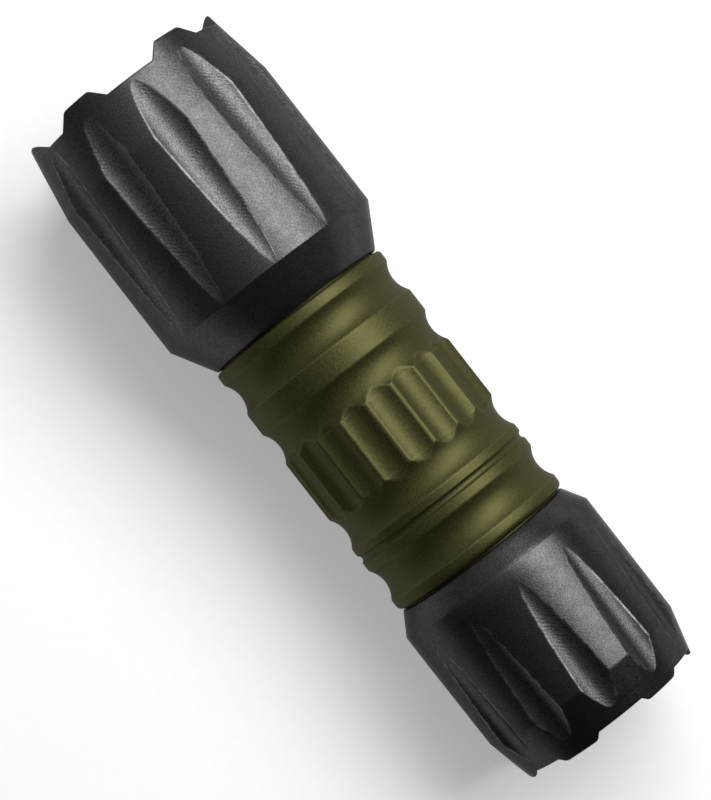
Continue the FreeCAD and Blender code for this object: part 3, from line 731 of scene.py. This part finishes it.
def make_materials():
    rubber = dict(Specular_IOR_Level=0.35)
    return {
        "head_metal": dark_metal("head_metal", 1.0, 0.31, 0.4, 0.3),
        # The tail's copy is glossier, and its tones are darkened to 0.84 as painted shade.
        "tail_metal_painted_shade": dark_metal("tail_metal_painted_shade", 0.84, 0.28, 0.35, 0.1),
        "tube_green": tube_green(),
        "rubber_seal": grained("rubber_seal", (0.012, 0.012, 0.012), (0.028, 0.028, 0.028), 2500,
                               (0.4, 0.55), 0.003 * MM, **rubber),
        "boot_rubber": grained("boot_rubber", (0.034, 0.034, 0.035), (0.064, 0.064, 0.066), 3200,
                               (0.46, 0.6), 0.01 * MM, **rubber),
        "lens_glass": clear("lens_glass", (0.2, 0.24, 0.25), 0.12, 0.02),
        "reflector_chrome": turned_metal("reflector_chrome", (0.88, 0.88, 0.89), (0.95, 0.95, 0.95),
                                         (0.04, 0.09), 0.0004 * MM),
        "white_plastic": grained("white_plastic", (0.72, 0.72, 0.69), (0.84, 0.84, 0.81), 1800, (0.4, 0.55),
                                 0.003 * MM),
        "led_ceramic": grained("led_ceramic", (0.78, 0.78, 0.75), (0.88, 0.88, 0.86), 4000, (0.45, 0.6),
                               0.002 * MM),
        "led_phosphor": grained("led_phosphor", (0.72, 0.5, 0.06), (0.88, 0.68, 0.14), 9000, (0.5, 0.65),
                                0.004 * MM),
        "led_silicone": clear("led_silicone", (0.5, 0.5, 0.4), 0.16, 0.03),
        "star_board": circuit("star_board", (0.8, 0.8, 0.78), (0.66, 0.67, 0.66)),
        "wire_red": grained("wire_red", (0.42, 0.02, 0.015), (0.6, 0.04, 0.03), 3500, (0.35, 0.5),
                            0.003 * MM),
        "wire_black": grained("wire_black", (0.015, 0.015, 0.015), (0.03, 0.03, 0.03), 3500, (0.35, 0.5),
                              0.003 * MM),
        "pill_brass": turned_metal("pill_brass", (0.56, 0.38, 0.14), (0.74, 0.54, 0.24), (0.2, 0.34),
                                   0.004 * MM),
        "contact_brass": turned_metal("contact_brass", (0.66, 0.5, 0.22), (0.8, 0.64, 0.34), (0.15, 0.28),
                                      0.003 * MM),
        "circuit_board": circuit("circuit_board", (0.015, 0.1, 0.04), (0.05, 0.2, 0.09)),
        "chip_black": grained("chip_black", (0.02, 0.02, 0.022), (0.045, 0.045, 0.048), 5000, (0.35, 0.5),
                              0.004 * MM),
        "spring_steel": turned_metal("spring_steel", (0.56, 0.54, 0.47), (0.76, 0.74, 0.66), (0.18, 0.3),
                                     0.002 * MM),
        "cell_steel": turned_metal("cell_steel", (0.55, 0.55, 0.56), (0.72, 0.72, 0.73), (0.2, 0.32),
                                   0.003 * MM),
        "cell_sleeve": grained("cell_sleeve", (0.03, 0.07, 0.15), (0.05, 0.1, 0.2), 900, (0.25, 0.36),
                               0.004 * MM),
        "switch_plastic": grained("switch_plastic", (0.03, 0.03, 0.032), (0.055, 0.055, 0.058), 2600,
                                  (0.42, 0.56), 0.005 * MM),
    }


def paint_cad_nodes():
    """Every carried-over node takes its slot's material."""
    slots = {part["node"]: part["material_slot"] for part in frame["record"]["subparts"]}
    for node, obj in frame["nodes"].items():
        obj.data.materials.clear()
        obj.data.materials.append(MATERIALS[slots[node]])


# Floor, light and camera

def floor_material():
    n = Nodes("floor_paper")
    fibre = n.noise(900, 4)
    n.put(Base_Color=n.mix(n.span(fibre, 0, 1), (0.555, 0.555, 0.555), (0.575, 0.575, 0.575)),
          Roughness=n.span(fibre, 0.75, 0.9), Emission_Color=(1, 1, 1), Emission_Strength=FLOOR_GLOW)
    n.bump((fibre, 0.004 * MM))
    return n.material


def make_floor():
    """Pale floor, tilted so that the narrower tail rests on it as well as the head."""
    size = 3.0
    head_x, tail_x = HEAD_HIGH.x - HEAD_TAPER, TAIL_LOW.x + TAIL_TAPER
    drop = (HEAD_R - TAIL_R) / (head_x - tail_x)
    corners = ((-size, -size), (size, -size), (size, size), (-size, size))
    mesh = bpy.data.meshes.new("floor")
    mesh.from_pydata([(x, y, drop * (head_x - x)) for x, y in corners], [], [(0, 1, 2, 3)])
    floor = bpy.data.objects.new("floor", mesh)
    floor.data.materials.append(floor_material())
    bpy.context.scene.collection.objects.link(floor)


def make_area(name, direction, distance, size, power):
    """Soft light that faces the middle of the flashlight from a direction."""
    light = bpy.data.lights.new(name, "AREA")
    light.shape = "RECTANGLE"
    light.size, light.size_y = size
    light.energy = power
    obj = bpy.data.objects.new(name, light)
    aim = Vector(direction).normalized()
    obj.location = Vector((0, 0, AXIS_Z)) + aim * distance
    obj.rotation_mode = "QUATERNION"
    obj.rotation_quaternion = aim.to_track_quat("Z", "X")
    bpy.context.scene.collection.objects.link(obj)


def make_world():
    """Studio around the table: brightest on the beam's side and overhead."""
    world = bpy.data.worlds.new("studio")
    world.use_nodes = True
    tree = world.node_tree
    back = tree.nodes["Background"]
    place = tree.nodes.new("ShaderNodeTexCoord")
    split = tree.nodes.new("ShaderNodeSeparateXYZ")
    both = tree.nodes.new("ShaderNodeMix")
    both.data_type, both.blend_type = "RGBA", "MULTIPLY"
    both.inputs[0].default_value = 1.0
    tree.links.new(place.outputs["Generated"], split.inputs["Vector"])
    for axis, socket, shades in (("X", both.inputs[6], ALONG), ("Y", both.inputs[7], ACROSS)):
        spread = tree.nodes.new("ShaderNodeMapRange")
        spread.inputs["From Min"].default_value = -1.0
        ramp = tree.nodes.new("ShaderNodeValToRGB")
        stops = ramp.color_ramp.elements
        for _ in shades[2:]:
            stops.new(0.5)
        for stop, (direction, level) in zip(stops, shades):
            stop.position = direction / 2 + 0.5
            stop.color = (level, level, level, 1)
        tree.links.new(split.outputs[axis], spread.inputs["Value"])
        tree.links.new(spread.outputs["Result"], ramp.inputs["Fac"])
        tree.links.new(ramp.outputs["Color"], socket)
    tree.links.new(both.outputs[2], back.inputs["Color"])
    back.inputs["Strength"].default_value = STUDIO_POWER
    bpy.context.scene.world = world


def make_camera():
    """Camera looking down at the light, turned so that the head points to the upper left."""
    turn, roll = math.radians(37.92), math.radians(6.0)
    distance = 324 * MM
    aim = Vector((0.56 * MM, 0.87 * MM, AXIS_Z))
    right = Vector((-math.sin(turn), -math.cos(turn), 0))
    up = Vector((math.cos(turn), -math.sin(turn), 0))
    tilt = Matrix.Rotation(-roll, 3, "X")
    right, up = tilt @ right, tilt @ up
    back = right.cross(up)
    data = bpy.data.cameras.new("camera")
    data.lens = 135
    data.sensor_width = 36
    data.clip_start, data.clip_end = 0.01, 20
    camera = bpy.data.objects.new("camera", data)
    facing = Matrix((right, up, back)).transposed().to_4x4()
    camera.matrix_world = Matrix.Translation(aim + back * distance) @ facing
    bpy.context.scene.collection.objects.link(camera)
    bpy.context.scene.camera = camera


MATERIALS = make_materials()
make_camera()
make_floor()
make_world()
make_area("key", KEY_DIRECTION, KEY_DISTANCE, KEY_SIZE, KEY_POWER)
paint_cad_nodes()
make_head()
make_tail()
make_tube()
make_boot()
make_led_dome()
make_return_spring()
bpy.context.scene.view_settings.view_transform = "Standard"
